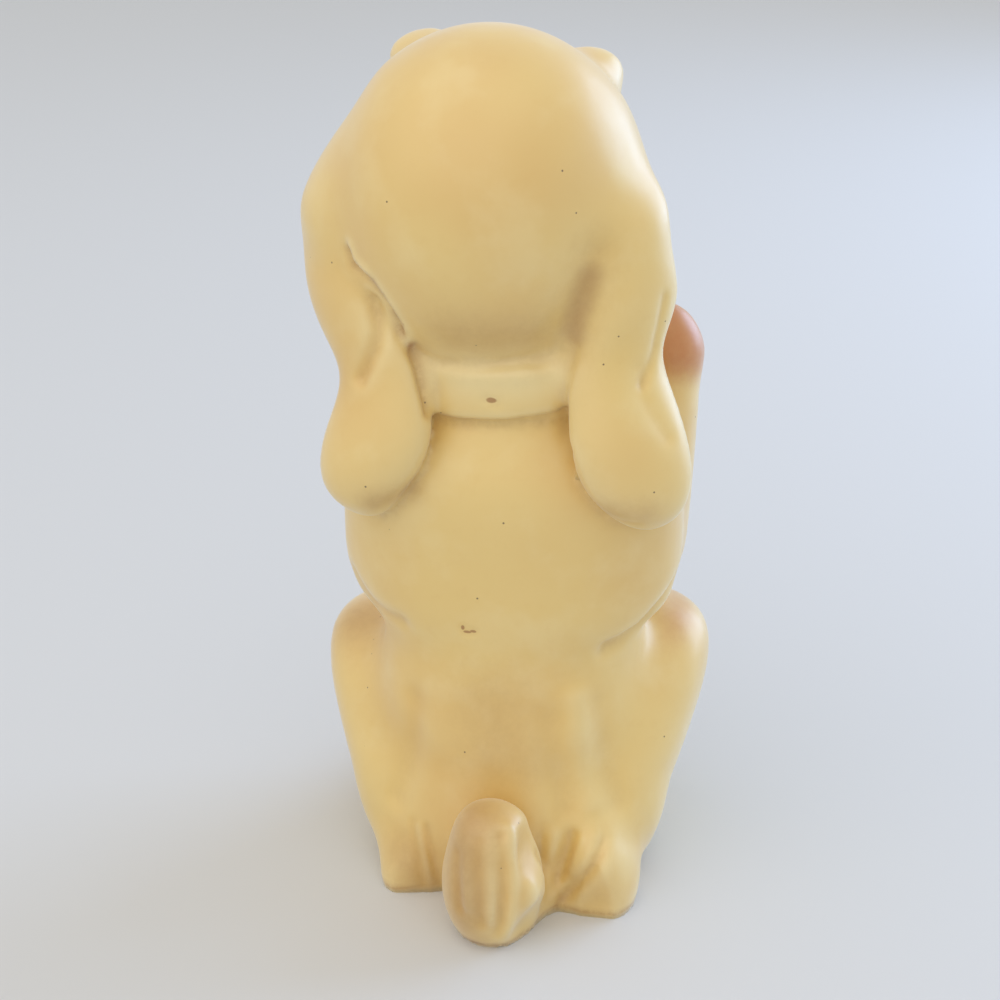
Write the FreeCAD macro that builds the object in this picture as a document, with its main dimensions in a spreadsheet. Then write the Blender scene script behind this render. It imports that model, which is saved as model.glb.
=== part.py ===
"""Cast plaster figure of a hound that sits up and begs, modelled in millimetres.

The hound looks towards -Y and stands on Z = 0, with its origin at the middle of its base. Its left side is +X.
Every moulded form is a loft through ovals or an ellipsoid, bound to the sheet of sizes. A smaller form is cut
by the larger ones that it grows out of, so that two neighbours meet face to face and share no plaster.
"""

import FreeCAD, Part

import os

SHEET = "Sizes"

# Driving dimensions. Each row is the alias of a cell and its value in millimetres, or in degrees where it is an angle.
SIZES = [
    # torso, from the floor to the top of the neck
    ("torso_height", 120.0),
    ("torso_width", 69.0),
    ("torso_depth", 44.0),
    ("torso_shift_x", -1.2),
    ("rump_set_back", 3.0),
    # hollow that the slip leaves when the mould is drained
    ("wall", 8.0),
    ("hollow_height", 96.0),
    # skull
    ("skull_width", 62.0),
    ("skull_depth", 55.0),
    ("skull_height", 66.8),
    ("skull_shift_x", 3.3),
    ("skull_forward", 1.0),
    ("neck_sink", 12.1),
    ("head_tilt", 1.5),
    # muzzle, chin and nose
    ("muzzle_width", 31.0),
    ("muzzle_height", 22.0),
    ("muzzle_length", 26.0),
    ("muzzle_drop", 9.0),
    ("flew_width", 14.0),
    ("flew_height", 21.0),
    ("chin_width", 17.0),
    ("chin_height", 13.0),
    ("nose_width", 12.0),
    ("nose_height", 8.5),
    ("nose_depth", 8.0),
    # brows and eyes
    ("brow_width", 17.0),
    ("brow_height", 13.0),
    ("brow_depth", 14.0),
    ("brow_spacing", 30.0),
    ("brow_rise", 21.8),
    ("eye_width", 10.0),
    ("eye_height", 13.0),
    ("eye_depth", 7.0),
    ("eye_spacing", 19.0),
    ("eye_rise", 11.0),
    # ears
    ("left_ear_length", 74.2),
    ("right_ear_length", 70.5),
    ("ear_width", 22.0),
    ("ear_thickness", 12.0),
    ("ear_root_rise", 14.5),
    # collar
    ("collar_stand", 4.0),
    ("collar_height", 11.0),
    ("collar_drop", 16.2),
    ("collar_tilt", 4.0),
    # forelegs and their paws
    ("foreleg_width", 16.0),
    ("foreleg_depth", 20.0),
    ("elbow_height", 60.0),
    ("right_wrist_height", 106.0),
    ("left_wrist_height", 94.0),
    ("elbow_span", 52.0),
    ("wrist_span", 56.6),
    ("elbow_forward", 6.0),
    ("wrist_forward", 15.0),
    ("paw_width", 16.0),
    ("paw_depth", 15.0),
    ("paw_length", 25.0),
    # haunches
    ("knee_span", 82.0),
    ("haunch_width", 29.0),
    ("haunch_overhang", 2.0),
    ("left_haunch_height", 49.5),
    ("right_haunch_height", 54.0),
    ("haunch_shift_x", -0.4),
    ("left_haunch_inset", 2.5),
    ("right_haunch_inset", 0.5),
    # hind feet
    ("toe_reach", 43.0),
    ("left_foot_length", 67.3),
    ("right_foot_length", 69.3),
    ("foot_width", 20.0),
    ("toe_height", 14.0),
    ("left_heel_height", 17.0),
    ("right_heel_height", 22.0),
    ("toe_spacing", 38.0),
    ("left_heel_out", 16.0),
    ("right_heel_out", 21.5),
    # tail
    ("tail_height", 33.5),
    ("tail_width", 20.6),
    ("tail_depth", 20.0),
    ("tail_stand", 18.0),
    ("tail_shift_x", -2.5),
    # one overrun serves every cut that leaves the solid
    ("overrun", 4.0),
]

# Torso rows: shares of its height, half width, half depth and of the rump's set-back.
TORSO_SHARES = [
    (0.000, 0.70, 0.90, 1.00),
    (0.065, 0.79, 0.98, 1.00),
    (0.165, 0.83, 1.00, 1.00),
    (0.290, 0.81, 0.93, 0.70),
    (0.400, 0.77, 0.86, 0.50),
    (0.465, 0.80, 0.86, 0.35),
    (0.500, 0.90, 0.89, 0.25),
    (0.540, 0.97, 0.92, 0.15),
    (0.620, 1.00, 0.96, 0.00),
    (0.700, 0.99, 0.97, 0.00),
    (0.775, 0.88, 0.91, 0.00),
    (0.855, 0.61, 0.74, 0.00),
    (0.925, 0.52, 0.66, 0.00),
    (1.000, 0.48, 0.61, 0.00),
]

# Hollow rows: shares of its height, and of the half width and half depth that the wall leaves at the torso's waist.
HOLLOW_SHARES = [
    (0.00, 0.86, 1.05),
    (0.20, 1.05, 1.12),
    (0.45, 0.98, 0.98),
    (0.65, 1.15, 1.02),
    (0.80, 1.22, 1.02),
    (0.90, 1.00, 0.86),
    (0.97, 0.62, 0.56),
    (1.00, 0.25, 0.25),
]
WAIST_WIDTH_SHARE = 0.77
WAIST_DEPTH_SHARE = 0.86

# Haunch rows: shares of its height, of the knees' half span, of its half width, of its depth behind Y = 0 and of its
# half depth.
HAUNCH_SHARES = [
    (0.00, 0.42, 0.83, -0.06, 0.84),
    (0.15, 0.47, 0.92, -0.07, 0.94),
    (0.37, 0.53, 0.97, -0.10, 1.00),
    (0.59, 0.61, 0.98, -0.17, 0.90),
    (0.78, 0.66, 0.97, -0.24, 0.76),
    (0.89, 0.67, 0.88, -0.28, 0.62),
    (0.96, 0.67, 0.62, -0.30, 0.42),
    (1.00, 0.67, 0.24, -0.31, 0.17),
]

# Ear rows: shares of its length, half width and half thickness, its turn about Z in degrees, and the place of its
# middle as shares of the skull's half width and of the torso's half depth. The two ears are modelled by hand.
LEFT_EAR_SHARES = [
    (0.000, 0.36, 0.33, 80.0, 0.885, 0.00),
    (0.054, 0.73, 0.58, 80.0, 0.985, 0.00),
    (0.135, 0.95, 0.80, 76.0, 1.040, 0.05),
    (0.222, 1.00, 0.87, 68.0, 1.092, 0.14),
    (0.323, 1.00, 0.90, 52.0, 1.026, 0.25),
    (0.425, 0.98, 0.90, 38.0, 0.941, 0.41),
    (0.539, 0.93, 0.90, 28.0, 0.803, 0.55),
    (0.633, 0.84, 0.90, 20.0, 0.698, 0.66),
    (0.755, 0.96, 1.00, 14.0, 0.708, 0.77),
    (0.863, 0.90, 1.00, 12.0, 0.777, 0.82),
    (0.937, 0.66, 0.80, 12.0, 0.813, 0.82),
    (0.984, 0.36, 0.47, 12.0, 0.797, 0.80),
    (1.000, 0.15, 0.20, 12.0, 0.797, 0.78),
]
RIGHT_EAR_SHARES = [
    (0.000, 0.36, 0.33, 70.0, 0.660, 0.12),
    (0.057, 0.73, 0.57, 62.0, 0.721, 0.23),
    (0.135, 0.91, 0.77, 50.0, 0.793, 0.36),
    (0.220, 0.93, 0.87, 43.0, 0.790, 0.43),
    (0.326, 0.93, 0.90, 36.0, 0.787, 0.48),
    (0.426, 0.91, 0.90, 32.0, 0.767, 0.52),
    (0.525, 0.87, 0.90, 27.0, 0.718, 0.57),
    (0.638, 0.93, 0.95, 25.0, 0.767, 0.66),
    (0.738, 1.02, 1.00, 23.0, 0.823, 0.75),
    (0.851, 0.98, 1.00, 20.0, 0.882, 0.80),
    (0.929, 0.76, 0.83, 18.0, 0.925, 0.80),
    (0.982, 0.42, 0.50, 18.0, 0.951, 0.77),
    (1.000, 0.16, 0.23, 18.0, 0.951, 0.76),
]

# Half width and half depth of the neck under the collar, as shares of the torso's.
NECK_WIDTH_SHARE = 0.536
NECK_DEPTH_SHARE = 0.659

# Collar rows: shares of its height and of its half width and half depth.
COLLAR_SHARES = [
    (0.00, 0.94),
    (0.10, 0.98),
    (0.50, 1.00),
    (0.90, 0.98),
    (1.00, 0.94),
]

# Foreleg rows: share of the way up from the elbow to the wrist, shares of its half width and half depth.
FORELEG_SHARES = [
    (0.00, 0.25, 0.25),
    (0.03, 0.58, 0.58),
    (0.10, 0.88, 0.88),
    (0.25, 1.03, 1.08),
    (0.50, 1.03, 1.02),
    (0.75, 1.00, 0.84),
    (1.00, 0.94, 0.68),
]

# Tail rows: shares of its height, half width, half depth and of how far its middle stands in front of its reach.
TAIL_SHARES = [
    (0.00, 0.78, 0.85, 1.24),
    (0.18, 0.96, 1.00, 1.08),
    (0.39, 1.00, 1.00, 1.00),
    (0.60, 0.88, 0.85, 0.92),
    (0.80, 0.68, 0.65, 0.90),
    (0.93, 0.42, 0.42, 0.90),
    (1.00, 0.15, 0.15, 0.90),
]

# Hind foot rows: share of the way from the toes to the heel, share of its half width, shares of the toes' height and
# of the heel's height.
FOOT_SHARES = [
    (0.00, 0.35, 0.30, 0.00),
    (0.03, 0.72, 0.58, 0.00),
    (0.10, 0.97, 0.90, 0.00),
    (0.22, 1.00, 1.00, 0.00),
    (0.45, 0.80, 0.60, 0.30),
    (0.75, 0.72, 0.00, 0.90),
    (0.88, 0.76, 0.00, 1.00),
    (0.96, 0.60, 0.00, 0.85),
    (1.00, 0.30, 0.00, 0.50),
]

# Points that the smooth unit circle runs through.
CURVE_POINTS = 12

doc = FreeCAD.newDocument("begging_hound")
upright = FreeCAD.Rotation()
# Turns an outline to face the front, with its first half axis downwards and its second towards +X.
facing_front = FreeCAD.Rotation(FreeCAD.Vector(0, 0, -1), FreeCAD.Vector(1, 0, 0), FreeCAD.Vector(0, -1, 0))


def make_sheet():
    """The sheet of sizes: a word in column A, its value in column B under the same alias."""
    sheet = doc.addObject("Spreadsheet::Sheet", SHEET)
    for row, (alias, value) in enumerate(SIZES, start=1):
        sheet.set(f"A{row}", alias)
        sheet.set(f"B{row}", str(value))
        sheet.setAlias(f"B{row}", alias)
    doc.recompute()
    return sheet


def size(alias):
    """How an expression reads one cell of the sheet."""
    return f"{SHEET}.{alias}"


def half(alias):
    return f"{SHEET}.{alias} / 2"


def bind(thing, **expressions):
    """Ties properties of a feature to expressions. x, y and z stand for its place."""
    for name, expression in expressions.items():
        path = f"Placement.Base.{name}" if name in ("x", "y", "z") else name
        thing.setExpression(path, expression)
    return thing


def make_unit_circle():
    """A circle of radius 1 as one smooth closed curve, which every oval outline is scaled from."""
    turns = [FreeCAD.Rotation(FreeCAD.Vector(0, 0, 1), 360 * i / CURVE_POINTS) for i in range(CURVE_POINTS)]
    curve = Part.BSplineCurve()
    curve.interpolate([turn.multVec(FreeCAD.Vector(1, 0, 0)) for turn in turns], PeriodicFlag=True)
    circle = doc.addObject("Part::Feature", "unit_circle")
    circle.Shape = curve.toShape()
    return circle


def oval(name, half_width, half_depth, x, y, z, rotation=upright):
    """An oval outline: the unit circle, scaled by sizes, turned and moved to its place."""
    outline = doc.addObject("Part::Scale", name)
    outline.Base = unit_circle
    outline.Uniform = False
    outline.ZScale = 1
    outline.Placement.Rotation = rotation
    return bind(outline, XScale=half_width, YScale=half_depth, x=x, y=y, z=z)


def loft(name, outlines):
    """A smooth solid through a row of outlines."""
    solid = doc.addObject("Part::Loft", name)
    solid.Sections = outlines
    solid.Solid = True
    solid.Ruled = False
    return solid


def egg(name, half_x, half_y, half_z, x, y, z, rotation=upright):
    """An ellipsoid with its three half axes along X, Y and Z."""
    solid = doc.addObject("Part::Ellipsoid", name)
    solid.Placement.Rotation = rotation
    return bind(solid, Radius2=half_x, Radius3=half_y, Radius1=half_z, x=x, y=y, z=z)


def cut(base, *tools, label=None):
    """base without what each tool holds. The last cut carries the label."""
    for tool in tools:
        left_over = doc.addObject("Part::Cut", f"{base.Name}_less_{tool.Name}"[:60])
        left_over.Base = base
        left_over.Tool = tool
        left_over.Refine = False
        base = left_over
    if label:
        base.Label = label
    return base


def fuse(name, *parts):
    joined = doc.addObject("Part::MultiFuse", name)
    joined.Shapes = list(parts)
    joined.Refine = False
    return joined


def make_torso():
    """Rump, barrel and neck in one loft of level ovals, before it is hollowed and trimmed at the floor."""
    foot = TORSO_SHARES[0]
    outlines = []
    for i, (high, wide, deep, back) in enumerate([foot, *TORSO_SHARES]):
        below = f" - {size('overrun')}" if i == 0 else ""
        outlines.append(
            oval(
                f"torso_oval_{i}",
                f"{half('torso_width')} * {wide}",
                f"{half('torso_depth')} * {deep}",
                size("torso_shift_x"),
                f"{size('rump_set_back')} * {back}",
                f"{size('torso_height')} * {high}{below}",
            )
        )
    return loft("torso_outer", outlines)


def make_hollow():
    """The drained hollow, a wall's thickness inside the torso, open at the floor."""
    mouth = HOLLOW_SHARES[0]
    outlines = []
    for i, (high, wide, deep) in enumerate([mouth, *HOLLOW_SHARES]):
        below = f" - {size('overrun')}" if i == 0 else ""
        outlines.append(
            oval(
                f"hollow_oval_{i}",
                f"({half('torso_width')} * {WAIST_WIDTH_SHARE} - {size('wall')}) * {wide}",
                f"({half('torso_depth')} * {WAIST_DEPTH_SHARE} - {size('wall')}) * {deep}",
                size("torso_shift_x"),
                f"{size('rump_set_back')} * {1 - high}",
                f"{size('hollow_height')} * {high}{below}",
            )
        )
    return loft("hollow", outlines)


def make_floor():
    """A block under Z = 0 that trims whatever would reach below the floor."""
    block = doc.addObject("Part::Box", "floor_block")
    side = f"2 * ({size('torso_depth')} + {size('knee_span')} + {size('toe_reach')} + {size('tail_stand')})"
    depth = f"({size('left_heel_height')} + {size('right_heel_height')})"
    bind(block, Length=side, Width=side, Height=depth)
    bind(block, x=f"-{side} / 2", y=f"-{side} / 2", z=f"-{depth}")
    return block


SKULL_X = size("skull_shift_x")
SKULL_Y = f"(-{size('skull_forward')})"
SKULL_Z = f"({size('torso_height')} - {size('neck_sink')} + {half('skull_height')})"


def make_skull():
    return egg("skull", half("skull_width"), half("skull_depth"), half("skull_height"), SKULL_X, SKULL_Y, SKULL_Z)


def make_muzzle():
    """The bridge of the muzzle and the two flews that hang from it."""
    front = f"({SKULL_Y} - {half('skull_depth')})"
    level = f"{SKULL_Z} - {size('muzzle_drop')}"
    bridge = egg(
        "muzzle_bridge",
        half("muzzle_width"),
        size("muzzle_length") + " * 0.9",
        half("muzzle_height"),
        SKULL_X,
        f"{front} + {size('muzzle_length')} * 0.4",
        level,
    )
    flews = [
        egg(
            f"flew_{side}",
            half("flew_width"),
            f"{size('muzzle_length')} * 0.55",
            half("flew_height"),
            f"{SKULL_X} + {way} * {size('muzzle_width')} * 0.27",
            f"{front} + {size('muzzle_length')} * 0.12",
            f"{level} - {size('muzzle_height')} * 0.28",
        )
        for side, way in (("left", 1), ("right", -1))
    ]
    return fuse("muzzle_form", bridge, *flews)


def make_chin():
    front = f"({SKULL_Y} - {half('skull_depth')})"
    return egg(
        "chin_form",
        half("chin_width"),
        f"{size('muzzle_length')} * 0.38",
        half("chin_height"),
        SKULL_X,
        f"{front} + {size('muzzle_length')} * 0.12",
        f"{SKULL_Z} - {size('muzzle_drop')} - {size('muzzle_height')} * 0.78",
    )


def make_nose():
    front = f"({SKULL_Y} - {half('skull_depth')})"
    return egg(
        "nose_form",
        half("nose_width"),
        half("nose_depth"),
        half("nose_height"),
        SKULL_X,
        f"{front} - {size('muzzle_length')} * 0.45",
        f"{SKULL_Z} - {size('muzzle_drop')} + {size('muzzle_height')} * 0.22",
    )


def make_brow(side, way):
    return egg(
        f"{side}_brow_form",
        half("brow_width"),
        half("brow_depth"),
        half("brow_height"),
        f"{SKULL_X} + {way} * {half('brow_spacing')}",
        f"{SKULL_Y} - {half('skull_depth')} * 0.56",
        f"{SKULL_Z} + {size('brow_rise')} + {way} * {size('head_tilt')} / 2",
    )


def make_eye(side, way):
    return egg(
        f"{side}_eye_form",
        half("eye_width"),
        half("eye_depth"),
        half("eye_height"),
        f"{SKULL_X} + {way} * {half('eye_spacing')}",
        f"{SKULL_Y} - {half('skull_depth')} * 0.90",
        f"{SKULL_Z} + {size('eye_rise')} + {way} * {size('head_tilt')} / 2",
    )


def make_ear(side, way, rows):
    """An ear that leaves the side of the skull edge on, then turns flat on the shoulder and ends in a round lobe.

    It is lofted on the +X side, and the right ear is then mirrored.
    """
    root = f"{SKULL_Z} + {size('ear_root_rise')} + {way} * {size('head_tilt')}"
    outlines = [
        oval(
            f"{side}_ear_oval_{i}",
            f"{half('ear_width')} * {wide}",
            f"{half('ear_thickness')} * {thick}",
            f"{half('skull_width')} * {out}",
            f"{half('torso_depth')} * {back}",
            f"{root} - {size(side + '_ear_length')} * {drop}",
            FreeCAD.Rotation(FreeCAD.Vector(0, 0, 1), -turn),
        )
        for i, (drop, wide, thick, turn, out, back) in enumerate(rows)
    ]
    ear = loft(f"{side}_ear_form", outlines)
    if way > 0:
        return ear
    mirrored = doc.addObject("Part::Mirroring", f"{side}_ear_mirrored")
    mirrored.Source = ear
    mirrored.Normal = (1, 0, 0)
    return mirrored


def make_collar():
    """A rounded band about the neck, tilted a little towards the right."""
    tilted = FreeCAD.Rotation(FreeCAD.Vector(0, 1, 0), doc.getObject(SHEET).collar_tilt)
    outlines = [
        oval(
            f"collar_oval_{i}",
            f"({half('torso_width')} * {NECK_WIDTH_SHARE} + {size('collar_stand')}) * {wide}",
            f"({half('torso_depth')} * {NECK_DEPTH_SHARE} + {size('collar_stand')}) * {wide}",
            size("torso_shift_x"),
            "0 mm",
            f"{size('torso_height')} - {size('collar_drop')} + {size('collar_height')} * {high}",
            tilted,
        )
        for i, (high, wide) in enumerate(COLLAR_SHARES)
    ]
    return loft("collar_form", outlines)


def make_foreleg(side, way):
    """Elbow, forearm and wrist in one loft of level ovals."""
    elbow = size("elbow_height")
    rise = f"({size(side + '_wrist_height')} - {elbow})"
    outlines = []
    for i, (up, wide, deep) in enumerate(FORELEG_SHARES):
        span = f"({half('elbow_span')} * {1 - up:.2f} + {half('wrist_span')} * {up})"
        forward = f"({size('elbow_forward')} * {1 - up:.2f} + {size('wrist_forward')} * {up})"
        outlines.append(
            oval(
                f"{side}_foreleg_oval_{i}",
                f"{half('foreleg_width')} * {wide}",
                f"{half('foreleg_depth')} * {deep}",
                f"{size('torso_shift_x')} + {way} * {span}",
                f"-{forward}",
                f"{elbow} + {rise} * {up}",
            )
        )
    return loft(f"{side}_foreleg_form", outlines)


def make_forepaw(side, way):
    return egg(
        f"{side}_forepaw_form",
        half("paw_width"),
        half("paw_depth"),
        half("paw_length"),
        f"{size('torso_shift_x')} + {way} * {half('wrist_span')}",
        f"-{size('wrist_forward')}",
        size(side + "_wrist_height"),
    )


def make_haunch(side, way):
    """A thigh that leans forward as it rises to the knee, a little deeper than the torso that it clasps."""
    inset = size(side + "_haunch_inset")
    depth = f"({size('torso_depth')} + {size('haunch_overhang')})"
    outlines = []
    for i, (high, out, wide, back, deep) in enumerate(HAUNCH_SHARES):
        outlines.append(
            oval(
                f"{side}_haunch_oval_{i}",
                f"{half('haunch_width')} * {wide}",
                f"{depth} / 2 * {deep}",
                f"{size('haunch_shift_x')} + {way} * ({half('knee_span')} * {out} - {inset} * {1 - high:.2f})",
                f"{depth} * {back}",
                f"{size(side + '_haunch_height')} * {high}",
            )
        )
    return loft(f"{side}_haunch_form", outlines)


def make_hind_foot(side, way):
    """A long hind foot from the toes in front to the heel behind, half under the floor until it is trimmed."""
    outlines = []
    for i, (along, wide, toe_share, heel_share) in enumerate(FOOT_SHARES):
        out = f"({half('toe_spacing')} * {1 - along:.2f} + {size(side + '_heel_out')} * {along})"
        outlines.append(
            oval(
                f"{side}_foot_oval_{i}",
                f"{size('toe_height')} * {toe_share} + {size(side + '_heel_height')} * {heel_share}",
                f"{half('foot_width')} * {wide}",
                f"{size('haunch_shift_x')} + {way} * {out}",
                f"{size(side + '_foot_length')} * {along} - {size('toe_reach')}",
                "0 mm",
                facing_front,
            )
        )
    return loft(f"{side}_foot_form", outlines)


RUMP_BACK = f"({half('torso_depth')} + {size('rump_set_back')})"


def make_tail():
    """A plump tail that stands out behind the rump."""
    outlines = [
        oval(
            f"tail_oval_{i}",
            f"{half('tail_width')} * {wide}",
            f"{half('tail_depth')} * {deep}",
            size("tail_shift_x"),
            f"{RUMP_BACK} + {size('tail_stand')} - {half('tail_depth')} * {back}",
            f"{size('tail_height')} * {high}",
        )
        for i, (high, wide, deep, back) in enumerate(TAIL_SHARES)
    ]
    return loft("tail_form", outlines)


def make_figure():
    """Makes every sub-part, each cut by the larger ones that it touches, and returns them."""
    torso = make_torso()
    floor = make_floor()
    skull = make_skull()
    muzzle = make_muzzle()
    chin = make_chin()
    collar = make_collar()
    parts = [
        cut(torso, make_hollow(), floor, label="body_shell"),
        cut(skull, torso, label="head"),
        cut(muzzle, skull, torso, label="muzzle"),
        cut(chin, torso, skull, muzzle, label="chin"),
        cut(make_nose(), muzzle, label="nose"),
        cut(collar, torso, skull, chin, muzzle, label="collar"),
    ]
    tail = make_tail()
    parts.append(cut(tail, torso, label="tail"))
    for side, way, ear_rows in (("left", 1, LEFT_EAR_SHARES), ("right", -1, RIGHT_EAR_SHARES)):
        brow = make_brow(side, way)
        haunch = make_haunch(side, way)
        foot = make_hind_foot(side, way)
        foreleg = make_foreleg(side, way)
        paw = make_forepaw(side, way)
        ear = make_ear(side, way, ear_rows)
        parts += [
            cut(brow, skull, label=f"{side}_brow"),
            cut(make_eye(side, way), skull, brow, muzzle, label=f"{side}_eye"),
            cut(foot, torso, floor, label=f"{side}_hind_foot"),
            cut(haunch, foot, torso, label=f"{side}_haunch"),
            cut(foreleg, torso, paw, label=f"{side}_foreleg"),
            cut(paw, torso, label=f"{side}_forepaw"),
            cut(ear, skull, torso, collar, foreleg, label=f"{side}_ear"),
        ]
    return parts


def check(parts):
    """Stops unless every object is up to date and every sub-part is one sound solid."""
    for thing in doc.Objects:
        if "Invalid" in thing.State or "Error" in thing.State:
            raise RuntimeError(f"{thing.Name} did not compute: {thing.State}")
    for part in parts:
        shape = part.Shape
        if shape.isNull() or not shape.isValid() or shape.Volume <= 0:
            raise RuntimeError(f"{part.Label} has no sound shape")
        print(f"{part.Label}: {len(shape.Solids)} solid, {shape.Volume:.0f} mm3")


def export(parts):
    os.makedirs("parts", exist_ok=True)
    for part in parts:
        part.Shape.exportStep(f"parts/{part.Label}.step")


make_sheet()
unit_circle = make_unit_circle()
figure = make_figure()
doc.recompute()
check(figure)
export(figure)
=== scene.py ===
"""Looks of the cast plaster hound: one sculpted casting, its paint, and the table and light.

The plaster solids are melted into one lump of clay, softened where the mould's forms run together, tooled with
creases and ridges, and parted again into one closed piece per solid. Lengths in the tables are millimetres.
"""

import functools
import math

import bmesh
import bpy
import numpy as np
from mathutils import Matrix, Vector
from mathutils.bvhtree import BVHTree


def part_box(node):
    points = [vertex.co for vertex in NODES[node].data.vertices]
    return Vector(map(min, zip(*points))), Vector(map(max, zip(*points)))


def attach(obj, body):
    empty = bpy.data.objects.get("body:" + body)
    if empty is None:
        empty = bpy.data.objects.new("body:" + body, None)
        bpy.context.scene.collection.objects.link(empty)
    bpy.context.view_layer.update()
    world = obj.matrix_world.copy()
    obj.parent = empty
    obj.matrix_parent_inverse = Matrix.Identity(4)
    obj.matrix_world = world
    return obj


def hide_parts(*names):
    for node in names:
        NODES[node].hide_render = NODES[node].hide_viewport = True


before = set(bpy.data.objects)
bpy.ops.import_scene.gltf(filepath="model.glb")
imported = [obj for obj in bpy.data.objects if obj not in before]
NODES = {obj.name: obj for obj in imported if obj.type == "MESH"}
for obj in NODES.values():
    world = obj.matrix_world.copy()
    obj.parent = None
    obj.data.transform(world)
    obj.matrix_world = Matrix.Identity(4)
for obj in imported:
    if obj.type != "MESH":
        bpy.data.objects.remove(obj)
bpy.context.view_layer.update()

MM = 0.001
PAINTED = ("nose", "left_eye", "right_eye")
CLAY_NODES = sorted(set(NODES) - set(PAINTED))

# Edge of one cell of the clay, and how thick each piece of the parted casting is.
FINE_CELL = 0.75
CELL = FINE_CELL
PIECE_WALL = 2.2


# Clay

# Points that lie closer are one corner of a solid.
SAME_CORNER = 0.01
# Two steps that take the cells' stairs away: in, and as far out again.
EVEN_STEPS = (0.5, -0.52)
# Farther than any stroke reaches.
FAR = 99.0
# Smoothing weaker than this is left out.
UNTOUCHED = 0.002


def melted_clay():
    """One closed skin around copies of all the solids that are plaster."""
    lump = bmesh.new()
    for name in CLAY_NODES:
        lump.from_mesh(NODES[name].data)
    bmesh.ops.remove_doubles(lump, verts=lump.verts, dist=SAME_CORNER * MM)
    for centre, radii in PELLETS:
        pellet = bmesh.ops.create_icosphere(lump, subdivisions=4, radius=MM)["verts"]
        bmesh.ops.scale(lump, verts=pellet, vec=radii)
        bmesh.ops.translate(lump, verts=pellet, vec=Vector(centre) * MM)
        for point in pellet:
            point.co.z = max(point.co.z, 0)
    mesh = bpy.data.meshes.new("clay")
    lump.to_mesh(mesh)
    lump.free()
    holder = bpy.data.objects.new("clay", mesh)
    bpy.context.scene.collection.objects.link(holder)
    remesh = holder.modifiers.new("cells", "REMESH")
    remesh.mode = "VOXEL"
    remesh.voxel_size = CELL * MM
    skin = applied(holder)
    bpy.data.objects.remove(holder)
    return skin


def applied(holder):
    """The object's mesh with its modifiers made real."""
    ready = holder.evaluated_get(bpy.context.evaluated_depsgraph_get())
    return bpy.data.meshes.new_from_object(ready)


class Clay:
    """The skin of the lump as arrays in millimetres, with the few tools that a sculptor needs."""

    def __init__(self, mesh):
        self.mesh = mesh
        self.points = self.read("vertices", "co", 3) / MM
        self.edges = self.read("edges", "vertices", 2, int)
        ends = np.bincount(self.edges.ravel(), minlength=len(self.points))
        self.neighbours = np.maximum(ends, 1)[:, None]
        self.owner = self.nearest_solid()

    def read(self, kind, field, width, number=float):
        """One field of the mesh's points or edges, as an array."""
        items = getattr(self.mesh, kind)
        values = np.zeros(len(items) * width, np.float32 if number is float else np.int32)
        items.foreach_get(field, values)
        return values.reshape(-1, width).astype(number)

    def nearest_solid(self, votes=6):
        """For each point, which of CLAY_NODES lies nearest. Stray points follow their neighbours in each vote."""
        corners, faces, owners = [], [], []
        for index, name in enumerate(CLAY_NODES):
            mesh = NODES[name].data
            first = len(corners)
            corners += [v.co / MM for v in mesh.vertices]
            faces += [tuple(first + i for i in p.vertices) for p in mesh.polygons]
            owners += [index] * len(mesh.polygons)
        tree = BVHTree.FromPolygons(corners, faces)
        owner = np.array([owners[tree.find_nearest(p)[2]] for p in self.points])
        for _ in range(votes):
            shares = [self.mean_of((owner == i).astype(float)) for i in range(len(CLAY_NODES))]
            owner = np.stack(shares).argmax(0)
        return owner

    def mean_of(self, values):
        """The mean of each point's neighbours."""
        columns = values.reshape(len(self.points), -1)
        a, b = self.edges.T
        total = np.stack(
            [np.bincount(a, c[b], len(c)) + np.bincount(b, c[a], len(c)) for c in columns.T],
            axis=1,
        )
        return (total / self.neighbours).reshape(values.shape)

    def smooth(self, weight, rounds):
        """Relaxes the skin where weight is above zero."""
        a, b = self.edges[(weight[self.edges] > UNTOUCHED).any(1)].T
        pace = 0.5 * weight / self.neighbours[:, 0]
        count = len(self.points)
        for _ in range(rounds):
            for column in self.points.T:
                pull = column[b] - column[a]
                column += pace * (np.bincount(a, pull, count) - np.bincount(b, pull, count))

    def even_out(self, rounds):
        """Takes the cells' steps away and leaves the size of the forms as it is."""
        for _ in range(rounds):
            for step in EVEN_STEPS:
                self.points += step * (self.mean_of(self.points) - self.points)

    def near_join(self, first, second, reach, low=-10.0, high=200.0):
        """1 on the crease between two groups of solids, falling to 0 at reach, from one height to another."""
        owners = [np.isin(self.owner, [CLAY_NODES.index(n) for n in names]) for names in (first, second)]
        a, b = self.edges.T
        crossing = (owners[0][a] & owners[1][b]) | (owners[1][a] & owners[0][b])
        seeds = np.unique(self.edges[crossing])
        level = self.points[seeds, 2]
        seeds = seeds[(level > low) & (level < high)]
        if not len(seeds):
            return np.zeros(len(self.points))
        return falloff(distance_to_points(self.points, self.points[seeds]), reach)

    def normals(self):
        """Puts the points back into the mesh, and gives the way that each faces."""
        self.mesh.vertices.foreach_set("co", (self.points * MM).ravel())
        self.mesh.update()
        return self.read("vertices", "normal", 3)

    def pull(self, moves):
        """Drags the skin about each place, most in the middle."""
        for place, reach, way in moves:
            share = falloff(np.linalg.norm(self.points - np.array(place), axis=1), reach)
            self.points += share[:, None] * np.array(way)

    def tool(self, strokes):
        """Presses each stroke into the skin, or raises it where its depth is below zero."""
        outward = self.normals()
        push = np.zeros(len(self.points))
        for width, depth, path in strokes:
            push += depth * np.exp(-((distance_to_path(self.points, path) / width) ** 2))
        self.points -= push[:, None] * outward


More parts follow.
